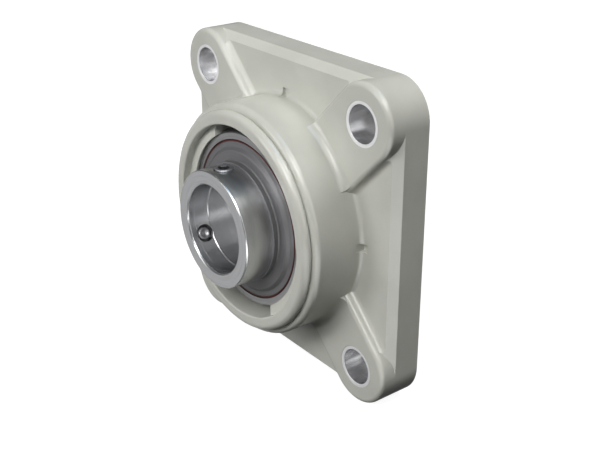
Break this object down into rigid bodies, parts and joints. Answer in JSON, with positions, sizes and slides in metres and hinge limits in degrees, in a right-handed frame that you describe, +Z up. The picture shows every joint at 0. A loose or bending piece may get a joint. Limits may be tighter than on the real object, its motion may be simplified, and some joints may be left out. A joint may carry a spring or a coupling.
{
  "type": "flange bearing unit",
  "caption": "Square flange bearing unit: a light grey moulded housing with bushed bolt holes holds a sealed insert ball bearing in a spherical seat; grub screws lock the shaft.",
  "frame": {"origin": "on the shaft axis in the plane of the mounting face", "axes": "+Y out of the mounting face into the machine wall, -Y out of the front where the locking end of the bearing stands, +Z up, +X to the right seen from the front"},
  "size_m": [0.1086, 0.0421, 0.1086],
  "materials": {
    "housing": "glass-filled polyester moulding, warm light grey, satin, finely grained",
    "bushing_steel": "bright steel bushing, bore turned, end face ground flush",
    "ring_steel": "ground bearing steel, fine turning marks round the axis",
    "flinger_steel": "pressed stainless sheet, smooth, darker than the rings",
    "case_steel": "pressed steel sheet inside the seal",
    "seal_rubber": "dark red-brown nitrile rubber, matt",
    "cage_polymer": "glass-filled polyamide, dark",
    "ball_steel": "polished bearing balls",
    "screw_steel": "hardened steel grub screws, socket dark"
  },
  "bodies": {
    "housing": {"housing": "housing", "bolt_bushing_1": "bushing_steel", "bolt_bushing_2": "bushing_steel", "bolt_bushing_3": "bushing_steel", "bolt_bushing_4": "bushing_steel"},
    "insert": {"outer_ring": "ring_steel", "front_seal_case": "case_steel", "front_seal_lip": "seal_rubber", "rear_seal_case": "case_steel", "rear_seal_lip": "seal_rubber"},
    "shaft_ring": {"inner_ring": "ring_steel", "front_flinger": "flinger_steel", "rear_flinger": "flinger_steel", "front_flinger_edge": "seal_rubber", "rear_flinger_edge": "seal_rubber"},
    "cage": {"ball_cage": "cage_polymer"},
    "ball_1": {"ball_1": "ball_steel"},
    "ball_2": {"ball_2": "ball_steel"},
    "ball_3": {"ball_3": "ball_steel"},
    "ball_4": {"ball_4": "ball_steel"},
    "ball_5": {"ball_5": "ball_steel"},
    "ball_6": {"ball_6": "ball_steel"},
    "ball_7": {"ball_7": "ball_steel"},
    "ball_8": {"ball_8": "ball_steel"},
    "ball_9": {"ball_9": "ball_steel"},
    "grub_screw_1": {"grub_screw_1": "screw_steel"},
    "grub_screw_2": {"grub_screw_2": "screw_steel"}
  },
  "joints": [
    {"name": "insert_tilt", "type": "hinge", "parent": "housing", "child": "insert", "pos_m": [0, -0.0199, 0], "axis": [1, 0, 0], "range_deg": [-5, 5]},
    {"name": "shaft_spin", "type": "hinge", "parent": "insert", "child": "shaft_ring", "pos_m": [0, -0.0199, 0], "axis": [0, 1, 0], "continuous": true},
    {"name": "cage_orbit", "type": "hinge", "parent": "insert", "child": "cage", "pos_m": [0, -0.0199, 0], "axis": [0, 1, 0], "continuous": true},
    {"name": "ball_1_spin", "type": "hinge", "parent": "cage", "child": "ball_1", "pos_m": [0, -0.0199, 0.023], "axis": [0, 1, 0], "continuous": true},
    {"name": "ball_2_spin", "type": "hinge", "parent": "cage", "child": "ball_2", "pos_m": [-0.01478, -0.0199, 0.01762], "axis": [0, 1, 0], "continuous": true},
    {"name": "ball_3_spin", "type": "hinge", "parent": "cage", "child": "ball_3", "pos_m": [-0.02265, -0.0199, 0.00399], "axis": [0, 1, 0], "continuous": true},
    {"name": "ball_4_spin", "type": "hinge", "parent": "cage", "child": "ball_4", "pos_m": [-0.01992, -0.0199, -0.0115], "axis": [0, 1, 0], "continuous": true},
    {"name": "ball_5_spin", "type": "hinge", "parent": "cage", "child": "ball_5", "pos_m": [-0.00787, -0.0199, -0.02161], "axis": [0, 1, 0], "continuous": true},
    {"name": "ball_6_spin", "type": "hinge", "parent": "cage", "child": "ball_6", "pos_m": [0.00787, -0.0199, -0.02161], "axis": [0, 1, 0], "continuous": true},
    {"name": "ball_7_spin", "type": "hinge", "parent": "cage", "child": "ball_7", "pos_m": [0.01992, -0.0199, -0.0115], "axis": [0, 1, 0], "continuous": true},
    {"name": "ball_8_spin", "type": "hinge", "parent": "cage", "child": "ball_8", "pos_m": [0.02265, -0.0199, 0.00399], "axis": [0, 1, 0], "continuous": true},
    {"name": "ball_9_spin", "type": "hinge", "parent": "cage", "child": "ball_9", "pos_m": [0.01478, -0.0199, 0.01762], "axis": [0, 1, 0], "continuous": true},
    {"name": "grub_screw_1_travel", "type": "slide", "parent": "shaft_ring", "child": "grub_screw_1", "axis": [0, 0, 1], "range_m": [-0.0004, 0.0025]},
    {"name": "grub_screw_2_travel", "type": "slide", "parent": "shaft_ring", "child": "grub_screw_2", "axis": [-0.866, 0, -0.5], "range_m": [-0.0004, 0.0025]}
  ],
  "couplings": [
    {"joint": "cage_orbit", "follows": "shaft_spin", "ratio": 0.39647},
    {"joint": "ball_1_spin", "follows": "shaft_spin", "ratio": -2.3112},
    {"joint": "ball_2_spin", "follows": "shaft_spin", "ratio": -2.3112},
    {"joint": "ball_3_spin", "follows": "shaft_spin", "ratio": -2.3112},
    {"joint": "ball_4_spin", "follows": "shaft_spin", "ratio": -2.3112},
    {"joint": "ball_5_spin", "follows": "shaft_spin", "ratio": -2.3112},
    {"joint": "ball_6_spin", "follows": "shaft_spin", "ratio": -2.3112},
    {"joint": "ball_7_spin", "follows": "shaft_spin", "ratio": -2.3112},
    {"joint": "ball_8_spin", "follows": "shaft_spin", "ratio": -2.3112},
    {"joint": "ball_9_spin", "follows": "shaft_spin", "ratio": -2.3112}
  ]
}
